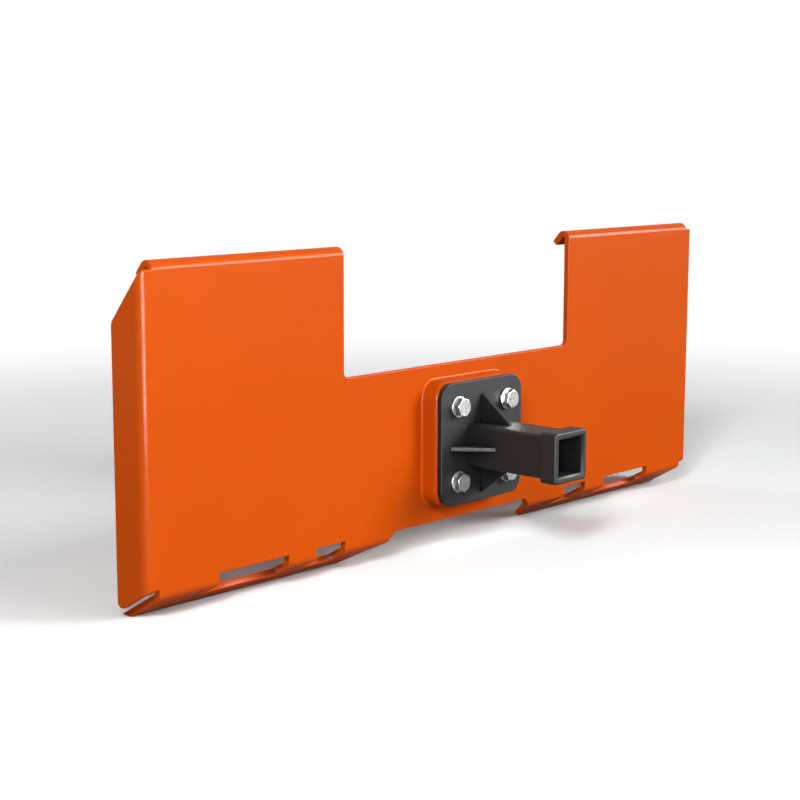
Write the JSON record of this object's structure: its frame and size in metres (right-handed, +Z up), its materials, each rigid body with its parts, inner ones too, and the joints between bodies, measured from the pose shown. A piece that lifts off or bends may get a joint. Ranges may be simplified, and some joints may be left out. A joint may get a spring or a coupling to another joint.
{
  "type": "skid steer receiver hitch plate",
  "caption": "Folded steel quick-attach plate with a centre notch, top hooks, side flanges and slotted lower lips, carrying a bolted-on square receiver tube with gussets.",
  "frame": {"origin": "middle of the overall box in plan, on the floor under the two lower lips", "axes": "+X to the right seen from the front along the plate's width, +Y to the back where the hooks, side flanges and lips fold, +Z up; the receiver mouth faces -Y"},
  "size_m": [1.16, 0.267, 0.4398],
  "materials": {
    "orange_powder": "gloss powder coat",
    "black_powder": "satin powder coat",
    "zinc_plate": "bright zinc plating"
  },
  "bodies": {
    "root": {"mount_plate": "orange_powder", "spacer_pad": "orange_powder", "flange_plate": "black_powder", "receiver_tube": "black_powder", "receiver_collar": "black_powder", "gusset_top": "black_powder", "gusset_bottom": "black_powder", "gusset_left": "black_powder", "gusset_right": "black_powder", "bolt_upper_left": "zinc_plate", "bolt_upper_right": "zinc_plate", "bolt_lower_left": "zinc_plate", "bolt_lower_right": "zinc_plate", "front_washer_upper_left": "zinc_plate", "front_washer_upper_right": "zinc_plate", "front_washer_lower_left": "zinc_plate", "front_washer_lower_right": "zinc_plate", "rear_washer_upper_left": "zinc_plate", "rear_washer_upper_right": "zinc_plate", "rear_washer_lower_left": "zinc_plate", "rear_washer_lower_right": "zinc_plate", "spring_washer_upper_left": "zinc_plate", "spring_washer_upper_right": "zinc_plate", "spring_washer_lower_left": "zinc_plate", "spring_washer_lower_right": "zinc_plate", "nut_upper_left": "zinc_plate", "nut_upper_right": "zinc_plate", "nut_lower_left": "zinc_plate", "nut_lower_right": "zinc_plate"}
  },
  "joints": []
}
